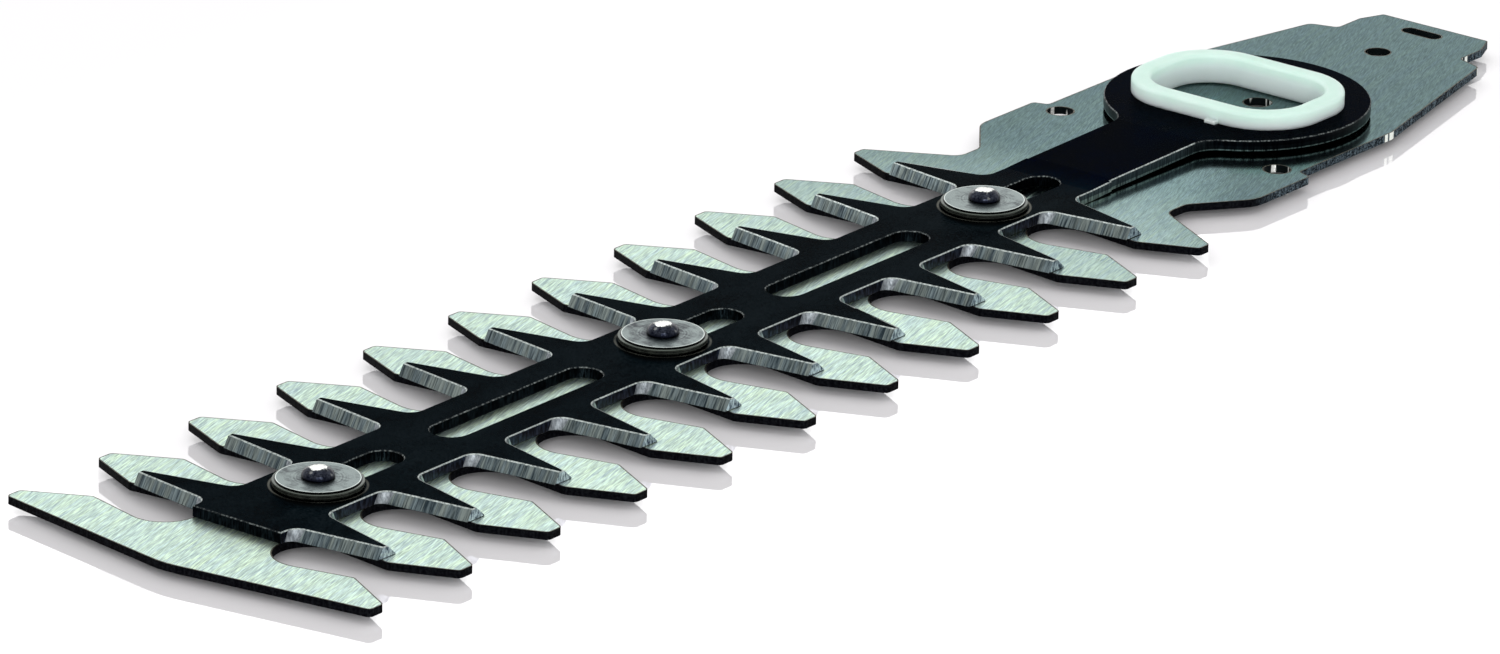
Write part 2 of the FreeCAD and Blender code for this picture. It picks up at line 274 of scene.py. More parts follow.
def shearedEdge():
    material, tree, shader = newMaterial("sheared edge", edge["shader"])
    place = objectPlace(tree)
    parts = axes(tree, place)
    grain = layered(tree, place, edge["grain"])
    light = levels(tree, grain, *edge["mix"])
    base = mixColour(tree, levels(tree, parts["X"], *edge["fade"]),
                     mixColour(tree, light, *edge["teeth"]), mixColour(tree, light, *edge["tang"]))
    mark = 0.0
    for low, high in edge["marks"]:
        mark = maths(tree, "MAXIMUM", mark, between(tree, parts["X"], low, high, edge["markSoft"]))
    mark = maths(tree, "MULTIPLY", mark, levels(tree, parts["Y"], *edge["markY"]))
    base = mixColour(tree, mark, base, edge["mark"])
    finish(tree, shader, base, levels(tree, grain, *edge["rough"]), grain, *edge["bump"])
    return material


# Other faces of the comb
combTones = {
    # the underside, painted darker than the top as painted shade, since it lies in shadow just above the
    # floor
    "shaded underside steel": {
        "grain": (((60, 1600, 300), 3.0, 0.6, 0.5), ((140, 260, 200), 4.0, 0.6, 0.5)),
        "mix": (0.38, 0.62), "dark": colour(0.05, 0.055, 0.06), "light": colour(0.17, 0.18, 0.19),
        "rough": (0.3, 0.7, 0.42, 0.30), "bump": (0.01 * mm, 0.4),
    },
    # a thin brown line round the top face: painted shade, standing for the dark edge of a rounded rim
    "painted rim shade": {
        "grain": (((2200, 2200, 2200), 2.0, 0.6, 1.0),),
        "mix": (0.38, 0.62), "dark": colour(0.020, 0.018, 0.012), "light": colour(0.11, 0.10, 0.07),
        "rough": (0.3, 0.7, 0.5, 0.36), "bump": (0.01 * mm, 0.4),
    },
    # small holes, with painted glints: bright streaks from top to bottom
    "bored wall glints": {
        "grain": (((430, 430, 60), 2.0, 0.6, 1.0),),
        "mix": (0.54, 0.57), "dark": colour(0.006, 0.009, 0.010), "light": colour(0.98, 1.0, 0.96),
        "rough": (0.3, 0.7, 0.4, 0.22), "bump": (0.02 * mm, 0.4),
        "shader": {"Metallic": 0.55, "Specular IOR Level": 0.05},
    },
}


# Black coat of the moving blade, with a painted reflection of each washer: a thin pale ring round it
coating = {
    "speck": ((3600, 3600, 3600), 2.0, 0.6), "cloud": ((90, 160, 90), 4.0, 0.6),
    "speckShare": 0.6, "cloudShare": 0.4, "mix": (0.38, 0.62),
    "dark": colour(0.0085, 0.0105, 0.0115), "light": colour(0.0185, 0.0220, 0.0245),
    "armFade": (-0.060, -0.046), "white": colour(1, 1, 1), "armTint": colour(0.42, 0.55, 0.72),
    # painted reflection of each washer's edge: a thin pale ring, broken up by noise
    "reflectionColour": colour(0.20, 0.20, 0.16), "reflectionBreakup": ((150, 150, 150), 2.0, 0.5),
    "reflectionBreakupMix": (0.30, 0.56),
    "ringRadius": 6.95 * mm, "ringHalf": 0.05 * mm, "ringSoft": 0.18 * mm,
    "rough": (0.35, 0.65, 0.30, 0.18), "bump": (0.008 * mm, 0.4),
    "shader": {"Specular IOR Level": 0.1, "Specular Tint": colour(0.42, 0.42, 0.42)},
}


def blackCoat():
    material, tree, shader = newMaterial("black coat", coating["shader"])
    place = objectPlace(tree)
    speck = noise(tree, place, *coating["speck"])
    cloud = noise(tree, place, *coating["cloud"])
    mixed = weighted(tree, (speck, coating["speckShare"]), (cloud, coating["cloudShare"]))
    base = mixColour(tree, levels(tree, mixed, *coating["mix"]), coating["dark"], coating["light"])
    onArm = levels(tree, axes(tree, place)["X"], *coating["armFade"])
    tint = mixColour(tree, onArm, coating["white"], coating["armTint"])
    base = mixColour(tree, 1.0, base, tint, "MULTIPLY")
    flat = vectors(tree, "MULTIPLY", place, (1, 1, 0))[0]
    # painted reflection: a thin pale ring round each washer, not metallic
    low, high = coating["ringRadius"] - coating["ringHalf"], coating["ringRadius"] + coating["ringHalf"]
    paintedReflection = 0.0
    for x in guideX:
        away = vectors(tree, "DISTANCE", flat, (x, 0, 0))["Value"]
        paintedReflection = maths(tree, "MAXIMUM", paintedReflection, between(tree, away, low, high, coating["ringSoft"]))
    patchy = levels(tree, noise(tree, place, *coating["reflectionBreakup"]), *coating["reflectionBreakupMix"])
    paintedReflection = maths(tree, "MULTIPLY", paintedReflection, patchy)
    base = mixColour(tree, paintedReflection, base, coating["reflectionColour"])
    tree.links.new(maths(tree, "SUBTRACT", 1.0, paintedReflection), shader.inputs["Metallic"])
    finish(tree, shader, base, levels(tree, mixed, *coating["rough"]), speck, *coating["bump"])
    return material


# Ground cutting flanks: bare steel with grind lines across the edge
flank = {
    "fine": ((200, 3600, 200), 3.0, 0.7), "band": ((90, 1100, 90), 1.0, 0.5),
    "fineShare": 0.82, "bandShare": 0.18, "mix": (0.38, 0.62),
    "coolTint": colour(0.88, 0.95, 1.0), "warmTint": colour(1.0, 1.0, 0.94),
    "dark": colour(0.024, 0.034, 0.040), "light": colour(0.205, 0.240, 0.242),
    "rough": (0.0, 1.0, 0.36, 0.24), "bump": (0.02 * mm, 0.5),
}


def groundFlank():
    material, tree, shader = newMaterial("ground flank", {"Metallic": 1.0})
    place = objectPlace(tree)
    fine = noise(tree, place, *flank["fine"])
    band = noise(tree, place, *flank["band"])
    mixed = weighted(tree, (fine, flank["fineShare"]), (band, flank["bandShare"]))
    share = levels(tree, mixed, *flank["mix"])
    tint = mixColour(tree, levels(tree, band, *flank["mix"]), flank["coolTint"], flank["warmTint"])
    base = mixColour(tree, share, flank["dark"], flank["light"])
    base = mixColour(tree, 1.0, base, tint, "MULTIPLY")
    finish(tree, shader, base, levels(tree, share, *flank["rough"]), fine, *flank["bump"])
    return material


# Walls of the arm, torn and grey, and of the disc, dark and burnished. Both have a bright line at the
# foot, a painted highlight, and the disc is a little lighter low down, a painted reflection of the comb.
# Heights are along Z.
armTone = {
    "tear": ((2600, 2600, 300), 3.0, 0.6), "mix": (0.40, 0.64),
    "torn": (colour(0.030, 0.038, 0.046), colour(0.12, 0.14, 0.155)),
    "smooth": (colour(0.0008, 0.001, 0.002), colour(0.004, 0.005, 0.007)),
    "discFade": (-0.030, -0.024),            # where the disc's wall starts
    "lowerReflectShare": 0.08, "upper": (2.54 * mm, 2.66 * mm),     # below this the disc takes a little of the torn colour: a painted reflection of the comb
    "line": (1.982 * mm, 2.06 * mm, 1.0, 0.0), "footHighlightMix": (0.36, 0.56),
    "footHighlight": colour(0.42, 0.47, 0.45),
    "rough": (0.3, 0.7, 0.45, 0.30), "bump": (0.03 * mm, 0.5),
}


def armWall():
    material, tree, shader = newMaterial("arm wall", {"Metallic": 1.0})
    place = objectPlace(tree)
    parts = axes(tree, place)
    tear = noise(tree, place, *armTone["tear"])
    light = levels(tree, tear, *armTone["mix"])
    torn = mixColour(tree, light, *armTone["torn"])
    smooth = mixColour(tree, light, *armTone["smooth"])
    upper = levels(tree, parts["Z"], *armTone["upper"])
    # painted reflection: the disc's wall is a little lighter low down
    disc = mixColour(tree, upper, mixColour(tree, armTone["lowerReflectShare"], smooth, torn), smooth)
    base = mixColour(tree, levels(tree, parts["X"], *armTone["discFade"]), torn, disc)
    # painted highlight: a bright line at the foot of both walls
    line = maths(tree, "MULTIPLY", levels(tree, parts["Z"], *armTone["line"]),
                 levels(tree, tear, *armTone["footHighlightMix"]))
    base = mixColour(tree, line, base, armTone["footHighlight"])
    finish(tree, shader, base, levels(tree, tear, *armTone["rough"]), tear, *armTone["bump"])
    return material


# Other faces of the moving blade
cornerGrain = {"grain": (((2600, 2600, 900), 3.0, 0.65, 1.0),), "mix": (0.38, 0.62),
               "bump": (0.01 * mm, 0.4)}
edgeGrain = {"grain": (((2400, 2400, 2400), 3.0, 0.65, 1.0),), "bump": (0.02 * mm, 0.4)}
bladeTones = {
    # smooth scallops in the corners of the gaps, where they face the front end: the ground corner steel
    # darkened, as painted shade
    "shaded corner": {
        **cornerGrain, "rough": (0.3, 0.7, 0.58, 0.42),
        "dark": colour(0.13, 0.145, 0.16), "light": colour(0.30, 0.33, 0.35),
    },
    # and where they face the tail: the same steel brightened, as a painted highlight
    "highlit corner": {
        **cornerGrain, "rough": (0.3, 0.7, 0.38, 0.22),
        "dark": colour(0.34, 0.38, 0.40), "light": colour(0.72, 0.78, 0.80),
    },
    # ends of the teeth
    "ground tip": {
        **cornerGrain, "rough": (0.3, 0.7, 0.34, 0.18),
        "dark": colour(0.05, 0.065, 0.11), "light": colour(0.84, 0.86, 1.0),
    },
    # walls at the roots of the gaps: torn, with blue grey streaks
    "root wall": {
        "grain": (((2100, 2100, 600), 3.0, 0.65, 1.0),),
        "mix": (0.45, 0.64), "dark": colour(0.002, 0.003, 0.008), "light": colour(0.040, 0.055, 0.090),
        "rough": (0.3, 0.7, 0.45, 0.30), "bump": (0.03 * mm, 0.6),
    },
    # other walls of the toothed part: nearly black
    "coated wall": {
        "grain": (((4200, 4200, 500), 3.0, 0.65, 1.0),),
        "mix": (0.48, 0.72), "dark": colour(0.0015, 0.002, 0.003), "light": colour(0.022, 0.030, 0.040),
        "rough": (0.3, 0.7, 0.50, 0.34), "bump": (0.04 * mm, 0.6),
        "shader": {"Metallic": 1.0, "Specular Tint": colour(0.5, 0.5, 0.5)},
    },
    # edges where the coat has gone and the steel shows
    "bright edge": {
        **edgeGrain, "mix": (0.34, 0.60), "rough": (0.34, 0.60, 0.5, 0.28),
        "dark": colour(0.10, 0.12, 0.12), "light": colour(0.50, 0.55, 0.53),
    },
    # edges where it has only begun to
    "dull edge": {
        **edgeGrain, "mix": (0.46, 0.66), "rough": (0.46, 0.66, 0.5, 0.28),
        "dark": colour(0.008, 0.011, 0.013), "light": colour(0.20, 0.225, 0.22),
    },
}

print("steel and coat described")


# Merged copies of CAD nodes, with a slot for each kind of face
merging = {
    "weld": 0.002 * mm,
    "flatAngle": 0.3,            # degrees between faces, below which they become one
    "sharpAngle": 30.0,          # and above which their edge stays sharp
    "level": 0.985,              # size of the normal's Z part, past which a face counts as level
    "wall": 0.5,                 # and below which it counts as a wall
}


def mergedCopy(node):
    source = nodes[node].data
    plain = bpy.data.meshes.new(node + "Copy")
    plain.from_pydata([corner.co for corner in source.vertices], [],
                      [face.vertices[:] for face in source.polygons])
    shape = bmesh.new()
    shape.from_mesh(plain)
    bmesh.ops.remove_doubles(shape, verts=shape.verts, dist=merging["weld"])
    bmesh.ops.dissolve_limit(shape, angle_limit=math.radians(merging["flatAngle"]),
                             verts=shape.verts, edges=shape.edges)
    shape.normal_update()
    return shape


def finishMesh(shape, name, materials, sharpAngle=merging["sharpAngle"]):
    mesh = bpy.data.meshes.new(name)
    shape.to_mesh(mesh)
    shape.free()
    for material in materials:
        mesh.materials.append(material)
    mesh.set_sharp_from_angle(angle=math.radians(sharpAngle))
    mesh.polygons.foreach_set("use_smooth", [abs(face.normal.z) < merging["level"]
                                             for face in mesh.polygons])
    piece = bpy.data.objects.new(name, mesh)
    bpy.context.scene.collection.objects.link(piece)
    return piece


def bevelEdges(shape, sides, width, segments, slot=0):
    bmesh.ops.bevel(shape, geom=sides, offset=width, segments=segments, profile=0.5,
                    affect="EDGES", clamp_overlap=True, material=slot)
    shape.normal_update()


comb = {
    "flat": 0.9,                 # size of the normal's Z part, past which a face is top or underside
    "corner": 0.30 * mm, "cornerSegments": 3,
    "cornerAngle": 12,           # degrees between walls, above which their corner is rounded
    # width of the painted shade line round the top face
    "rimShade": 0.20 * mm,
    "holeSpan": 9.0 * mm,        # a hole shorter than this along X counts as small
}


def isWall(face):
    return abs(face.normal.z) < merging["wall"]


def loopSpans(shape):
    # How long, along X, the group of joined walls is that each wall belongs to
    walls = {face for face in shape.faces if isWall(face)}
    spans = {}
    while walls:
        group, queue = [], [walls.pop()]
        while queue:
            face = queue.pop()
            group.append(face)
            near = {other for side in face.edges for other in side.link_faces} & walls
            walls -= near
            queue += near
        xs = [corner.co.x for face in group for corner in face.verts]
        spans.update({face: max(xs) - min(xs) for face in group})
    return spans


def combKind(face, spans):
    if face.normal.z > comb["flat"]:
        return "top"
    if face.normal.z < -comb["flat"]:
        return "under"
    return "hole" if spans.get(face, math.inf) < comb["holeSpan"] else "edge"


def makeComb():
    looks = {"top": brushedSteel(), "edge": shearedEdge(), "under": speckled("shaded underside steel", combTones),
             "rimShade": speckled("painted rim shade", combTones), "hole": speckled("bored wall glints", combTones)}
    slots = {kind: slot for slot, kind in enumerate(looks)}
    shape = mergedCopy("lower_blade")
    corners = [side for side in shape.edges if len(side.link_faces) == 2
               and all(isWall(face) for face in side.link_faces)
               and side.calc_face_angle() > math.radians(comb["cornerAngle"])]
    bevelEdges(shape, corners, comb["corner"], comb["cornerSegments"])
    spans = loopSpans(shape)
    for face in shape.faces:
        face.material_index = slots[combKind(face, spans)]
    # painted shade: a thin dark line inset round the top face
    top = [face for face in shape.faces if face.material_index == slots["top"]
           and face.calc_center_median().z > combHigh.z / 2]
    line = bmesh.ops.inset_region(shape, faces=top, thickness=comb["rimShade"], use_boundary=True,
                                  use_even_offset=True)
    for face in line["faces"]:
        face.material_index = slots["rimShade"]
    piece = finishMesh(shape, "combPlate", looks.values())
    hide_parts("lower_blade")
    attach(piece, "comb")


makeComb()
print("comb plate made")


blade = {
    "thickness": 1.7 * mm,
    "combEnd": 20 * mm,          # where the toothed part stops, behind the rear guide
    "armStart": 14 * mm,         # and where its last root ends
    "rim": 0.06 * mm,            # rounding of the underside's edge
    "rimSegments": 2,
    "edgeBreak": 0.17 * mm,      # height of the worn chamfer below the top face
    "root": 7.7 * mm,            # a face further from the middle line than this is in a gap
    "spine": 10.6 * mm,          # nearer than this it is in a gap's corner or at its root
    "toothEnd": 22.1 * mm,       # and further than this at the end of a tooth
    "discStart": -27 * mm,       # the arm's edges are rubbed brighter than the disc's
    "slope": 0.2, "flankSlope": 0.3, "topSlope": 0.4,    # least Z part of the normal, for three kinds
    "turned": 0.2,               # and least X part, for a wall in a gap's corner
}
bladeTop = bladeLow.z + blade["thickness"]
combEnd = guideX[2] + blade["combEnd"]
armStart = guideX[2] + blade["armStart"]


def bladeKind(face):
    middle = face.calc_center_median()
    lift = face.normal.z
    overComb = middle.x < combEnd
    inGap = overComb and abs(middle.y) > blade["root"]
    inSpine = abs(middle.y) < blade["spine"]
    # one ground finish, split by facing into a painted-shade copy and a painted-highlight copy
    corner = "corner" if face.normal.x < 0 else "front"
    if abs(lift) > merging["level"]:
        return "coat"
    if (lift > blade["slope"] and overComb
            and min(end.co.z for end in face.verts) > bladeTop - blade["edgeBreak"]):
        return "bright" if inGap else "dull"
    if abs(middle.y) > blade["toothEnd"]:
        return "tip"
    if inGap and abs(lift) > blade["flankSlope"]:
        return corner if abs(middle.y) <= blade["spine"] else "flank"
    if inGap and inSpine and abs(face.normal.x) > blade["turned"]:
        return corner
    if inGap and inSpine:
        return "arm" if middle.x > armStart else "root"
    if lift > blade["topSlope"]:
        return "bright" if middle.x < blade["discStart"] and not overComb else "dull"
    return "wall" if overComb else "arm"


def makeBlade():
    looks = {"coat": blackCoat(), "flank": groundFlank(),
             "corner": speckled("shaded corner", bladeTones), "wall": speckled("coated wall", bladeTones),
             "bright": speckled("bright edge", bladeTones), "dull": speckled("dull edge", bladeTones),
             "root": speckled("root wall", bladeTones), "arm": armWall(),
             "tip": speckled("ground tip", bladeTones), "front": speckled("highlit corner", bladeTones)}
    slots = {kind: slot for slot, kind in enumerate(looks)}
    shape = mergedCopy("upper_blade")
    for face in shape.faces:
        face.material_index = slots[bladeKind(face)]
    rims = [side for side in shape.edges if len(side.link_faces) == 2
            and min(face.normal.z for face in side.link_faces) < -merging["level"]
            and max(face.normal.z for face in side.link_faces) > -merging["wall"]]
    bevelEdges(shape, rims, blade["rim"], blade["rimSegments"], slots["dull"])
    piece = finishMesh(shape, "movingBlade", looks.values())
    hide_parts("upper_blade")
    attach(piece, "cutter")


makeBlade()
print("moving blade made")


# Drive ring: milky nylon, with a wide rounding into its opening
ring = {
    "rounding": 1.5 * mm, "roundingSegments": 8,
    "outerRounding": 0.25 * mm, "outerSegments": 3,
    "sharpAngle": 40.0,          # degrees
    "topDepth": 0.01 * mm, "topLevel": 0.98, "wallLevel": 0.7,   # how the top's edges are found
    # painted light: the ring is paler low down, where its walls get less light than the top
    "paintedLight": colour(0.74, 1.0, 0.87),         # near the blade
    "paintedLightTo": (4.2 * mm, 5.9 * mm),          # heights between which it goes over into the others
    "cloud": ((160, 160, 160), 3.0), "cloudMix": (0.35, 0.65),
    "dark": colour(0.50, 0.745, 0.625), "light": colour(0.56, 0.795, 0.685),
    "fine": ((2500, 2500, 2500), 2.0),
    "rough": (0.3, 0.7, 0.34, 0.46), "bump": (0.015 * mm, 0.3),
    "shader": {"IOR": 1.46, "Subsurface Weight": 1.0, "Subsurface Radius": (1.0, 1.0, 0.95),
               "Subsurface Scale": 5.0 * mm},
}


def milkyNylon():
    material, tree, shader = newMaterial("milky nylon", ring["shader"])
    place = objectPlace(tree)
    cloud = levels(tree, noise(tree, place, *ring["cloud"]), *ring["cloudMix"])
    fine = noise(tree, place, *ring["fine"])
    base = mixColour(tree, cloud, ring["dark"], ring["light"])
    # painted light: paler towards the bottom of the ring
    base = mixColour(tree, levels(tree, axes(tree, place)["Z"], *ring["paintedLightTo"]), ring["paintedLight"], base)
    finish(tree, shader, base, levels(tree, fine, *ring["rough"]), fine, *ring["bump"])
    return material


def makeRing():
    shape = mergedCopy("drive_ring")
    centre = (ringLow + ringHigh) / 2
    inner, outer = [], []
    for side in shape.edges:
        if len(side.link_faces) != 2 or side.verts[0].co.z < ringHigh.z - ring["topDepth"]:
            continue
        top, wall = sorted(side.link_faces, key=lambda face: -face.normal.z)
        if top.normal.z > ring["topLevel"] and wall.normal.z < ring["wallLevel"]:
            outward = (wall.calc_center_median() - centre).xy.dot(wall.normal.xy)
            (outer if outward > 0 else inner).append(side)
    bevelEdges(shape, inner, ring["rounding"], ring["roundingSegments"])
    bevelEdges(shape, [side for side in outer if side.is_valid], ring["outerRounding"],
               ring["outerSegments"])
    piece = finishMesh(shape, "driveRing", [milkyNylon()], ring["sharpAngle"])
    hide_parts("drive_ring")
    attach(piece, "cutter")


makeRing()
print("drive ring made")


# Guides: turned bodies made from a profile, set out at three places along the comb
turning = {
    "segments": 96,
    "lump": 900.0, "lumpDetail": 1.0,        # unevenness: lumps per metre, detail
    "evenBelow": washerHigh.z + 0.1 * mm,    # height that no unevenness reaches
}


def turnedTree(name, corners):
    tree = bpy.data.node_groups.new(name, "GeometryNodeTree")
    sockets = {"Geometry": tree.interface.new_socket("Geometry", in_out="OUTPUT",
                                                     socket_type="NodeSocketGeometry")}
    kinds = [(corner, "NodeSocketVector") for corner in corners]
    kinds += [("Segments", "NodeSocketInt"), ("Places", "NodeSocketInt"),
              ("First place", "NodeSocketVector"), ("Spacing", "NodeSocketVector"),
              ("Unevenness", "NodeSocketFloat"), ("Uneven above", "NodeSocketFloat"),
              ("Seed", "NodeSocketInt"), ("Material", "NodeSocketMaterial")]
    for label, kind in kinds:
        sockets[label] = tree.interface.new_socket(label, in_out="INPUT", socket_type=kind)
    given = addNode(tree, "NodeGroupInput").outputs
    # a grid with a row for each corner of the profile, wound round the axis and closed
    columns = maths(tree, "ADD", given["Segments"], 1)
    grid = addNode(tree, "GeometryNodeMeshGrid", {"Vertices X": len(corners), "Vertices Y": columns})
    index = addNode(tree, "GeometryNodeInputIndex").outputs[0]
    row = maths(tree, "FLOOR", maths(tree, "DIVIDE", index, columns))
    column = maths(tree, "MODULO", index, columns)
    angle = maths(tree, "MULTIPLY", maths(tree, "DIVIDE", column, given["Segments"]), math.tau)
    pick = addNode(tree, "GeometryNodeIndexSwitch", data_type="VECTOR")
    while len(pick.index_switch_items) < len(corners):
        pick.index_switch_items.new()
    tree.links.new(row, pick.inputs["Index"])
    for i, corner in enumerate(corners):
        tree.links.new(given[corner], pick.inputs[1 + i])
    turned = addNode(tree, "ShaderNodeVectorRotate",
                     {"Vector": pick.outputs[0], "Angle": angle}, rotation_type="Z_AXIS")
    shaped = addNode(tree, "GeometryNodeSetPosition",
                     {"Geometry": grid.outputs["Mesh"], "Position": turned.outputs[0]})
    closed = addNode(tree, "GeometryNodeMergeByDistance",
                     {"Geometry": shaped.outputs[0], "Distance": merging["weld"]})
    place = addNode(tree, "GeometryNodeInputPosition").outputs[0]
    marked = addNode(tree, "GeometryNodeStoreNamedAttribute",
                     {"Geometry": closed.outputs[0], "Name": "turnedPlace", "Value": place},
                     data_type="FLOAT_VECTOR", domain="POINT")
    # copies at the guides, each spun to its own angle and with its own shade
    points = addNode(tree, "GeometryNodeMeshLine",
                     {"Count": given["Places"], "Start Location": given["First place"],
                      "Offset": given["Spacing"]})
    shade = addNode(tree, "FunctionNodeRandomValue", {"Seed": given["Seed"]}, data_type="FLOAT")
    shaded = addNode(tree, "GeometryNodeStoreNamedAttribute",
                     {"Geometry": points.outputs[0], "Name": "shade", "Value": shade.outputs[1]},
                     data_type="FLOAT", domain="POINT")
    spin = addNode(tree, "FunctionNodeRandomValue",
                   {"Seed": given["Seed"], 0: (0, 0, 0), 1: (0, 0, math.tau)}, data_type="FLOAT_VECTOR")
    copies = addNode(tree, "GeometryNodeInstanceOnPoints",
                     {"Points": shaded.outputs[0], "Instance": marked.outputs[0],
                      "Rotation": spin.outputs[0]})
    real = addNode(tree, "GeometryNodeRealizeInstances", {"Geometry": copies.outputs[0]})
    # what stands above a height is made uneven
    lump = addNode(tree, "ShaderNodeTexNoise", {"Vector": place, "Scale": turning["lump"],
                                                "Detail": turning["lumpDetail"]})
    centred = vectors(tree, "SUBTRACT", lump.outputs["Color"], (0.5, 0.5, 0.5))[0]
    amount = addNode(tree, "ShaderNodeVectorMath", {0: centred, "Scale": given["Unevenness"]},
                     operation="SCALE")
    above = addNode(tree, "FunctionNodeCompare", {"A": axes(tree, place)["Z"], "B": given["Uneven above"]},
                    data_type="FLOAT", operation="GREATER_THAN")
    patchy = addNode(tree, "GeometryNodeSetPosition",
                   {"Geometry": real.outputs[0], "Selection": above.outputs[0],
                    "Offset": amount.outputs[0]})
    finished = addNode(tree, "GeometryNodeSetMaterial",
                       {"Geometry": patchy.outputs[0], "Material": given["Material"]})
    out = addNode(tree, "NodeGroupOutput")
    tree.links.new(finished.outputs[0], out.inputs[0])
    return tree, sockets


def bakedTree(name, tree, sockets, values):
    holder = bpy.data.objects.new(name + "Source", bpy.data.meshes.new(name + "Source"))
    bpy.context.scene.collection.objects.link(holder)
    modifier = holder.modifiers.new("turned", "NODES")
    modifier.node_group = tree
    for label, value in values.items():
        modifier[sockets[label].identifier] = value
    bpy.context.view_layer.update()
    graph = bpy.context.evaluated_depsgraph_get()
    mesh = bpy.data.meshes.new_from_object(holder.evaluated_get(graph), depsgraph=graph)
    holder.modifiers.remove(modifier)
    bpy.data.objects.remove(holder)
    shape = bmesh.new()
    shape.from_mesh(mesh)
    bmesh.ops.recalc_face_normals(shape, faces=shape.faces)
    shape.to_mesh(mesh)
    shape.free()
    mesh.name = name
    piece = bpy.data.objects.new(name, mesh)
    bpy.context.scene.collection.objects.link(piece)
    return piece


def makeTurned(name, node, profile, material, settings):
    tree, sockets = turnedTree(name + " tree", list(profile))
    values = {label: (radius, 0.0, height) for label, (radius, height) in profile.items()}
    values.update({"Segments": turning["segments"], "Places": len(places),
                   "First place": (guideX[0], 0.0, 0.0), "Spacing": (guideX[1] - guideX[0], 0.0, 0.0),
                   "Unevenness": settings["uneven"], "Uneven above": turning["evenBelow"],
                   "Seed": settings["seed"], "Material": material})
    piece = bakedTree(name, tree, sockets, values)
    mesh = piece.data
    mesh.polygons.foreach_set("use_smooth", [True] * len(mesh.polygons))
    mesh.set_sharp_from_angle(angle=math.radians(merging["sharpAngle"]))
    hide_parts(*[node + "_" + place for place in places])
    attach(piece, "comb")


def turnedPlace(tree):
    return addNode(tree, "ShaderNodeAttribute", attribute_name="turnedPlace").outputs["Vector"]


def turnedShade(tree):
    return addNode(tree, "ShaderNodeAttribute", attribute_name="shade").outputs["Fac"]


# Washers: satin, scuffed round their axis, with a stepped rim
washer = {
    "seed": 4, "uneven": 0.0,
    "bore": 1.95 * mm,
    "rim": (washerHigh.x - washerLow.x) / 2,
    "top": washerHigh.z,
    "face": 0.50 * mm,           # from the rim in to the edge of the top face
    "step": 0.24 * mm,           # drop from the top face to the ledge
    "ledge": 0.10 * mm,          # width of the bevel at the ledge's outer edge
    "lowChamfer": 0.2 * mm,
    "stepEdge": 0.06 * mm,       # rounding of the step, above and below
    "stepSlope": 0.01 * mm,
    # painted highlight: a bright line on the top face, just inside its edge
    "line": 0.12 * mm,           # bright line at the edge of the top face
    "fade": 0.03 * mm,
    "groove": (1.4, 1.8),        # end of the dark groove outside it, in widths of the line
    "sideFrom": (1.4, 1.6),      # where the side's colours start, in steps below the top
    "rings": (4200.0, 2.0),      # lumps per metre out from the axis, detail
    "turns": (3200.0, 1.0),      # and up the side
    "scuff": ((420, 420, 420), 5.0, 0.72), "scratch": ((260, 3200, 300), 2.0, 0.6, 35),
    "outward": (2.4 * mm, 5.2 * mm),         # paler towards the rim
    "ringShare": 0.16, "scuffShare": 0.60, "scratchShare": 0.24, "outwardShare": 0.10,
    "shade": (0, 1, -0.025, 0.045),          # how much the three washers differ
    "mix": (0.46, 0.63),
    "darkFace": colour(0.012, 0.018, 0.026), "lightFace": colour(0.165, 0.207, 0.202),
    "turnShare": 0.6, "sideScuffShare": 0.4, "sideMix": (0.42, 0.60),
    "darkSide": colour(0.003, 0.004, 0.004), "lightSide": colour(0.075, 0.085, 0.070),
    "ledgeColour": colour(0.10, 0.115, 0.10),
    "bright": colour(0.60, 0.66, 0.63),
    "metal": (0.0, 1.0, 1.0, 0.60),          # levels from the top to the side
    "rough": (0.0, 1.0, 0.42, 0.26), "bump": (0.03 * mm, 0.5),
}


def washerSteel():
    material, tree, shader = newMaterial("washer steel", {})
    place = turnedPlace(tree)
    parts = axes(tree, place)
    radius = maths(tree, "SQRT", maths(tree, "ADD", maths(tree, "POWER", parts["X"], 2),
                                       maths(tree, "POWER", parts["Y"], 2)))
    rings = noiseAlong(tree, radius, *washer["rings"])
    turns = noiseAlong(tree, parts["Z"], *washer["turns"])
    scuff = noise(tree, place, *washer["scuff"])
    scratch = noise(tree, place, *washer["scratch"])
    mark = weighted(tree, (rings, washer["ringShare"]), (scuff, washer["scuffShare"]),
                    (scratch, washer["scratchShare"]),
                    (levels(tree, radius, *washer["outward"]), washer["outwardShare"]))
    shade = levels(tree, turnedShade(tree), *washer["shade"])
    share = levels(tree, maths(tree, "ADD", mark, shade), *washer["mix"])
    face = mixColour(tree, share, washer["darkFace"], washer["lightFace"])
    sideMark = weighted(tree, (turns, washer["turnShare"]), (scuff, washer["sideScuffShare"]))
    side = mixColour(tree, levels(tree, sideMark, *washer["sideMix"]), washer["darkSide"],
                     washer["lightSide"])
    down = levels(tree, parts["Z"], *[washer["top"] - washer["step"] * s for s in washer["sideFrom"]])
    rim, wide, fade = washer["rim"] - washer["face"], washer["line"], washer["fade"]
    # painted highlight: the bright line at the edge of the top face
    face = mixColour(tree, between(tree, radius, rim - wide, rim, fade), face, washer["bright"])
    ledge = mixColour(tree, levels(tree, radius, *[rim + wide * s for s in washer["groove"]]),
                      washer["darkSide"], washer["ledgeColour"])
    face = mixColour(tree, levels(tree, radius, rim, rim + fade), face, ledge)
    tree.links.new(levels(tree, down, *washer["metal"]), shader.inputs["Metallic"])
    finish(tree, shader, mixColour(tree, down, face, side), levels(tree, share, *washer["rough"]),
           mark, *washer["bump"])
    return material


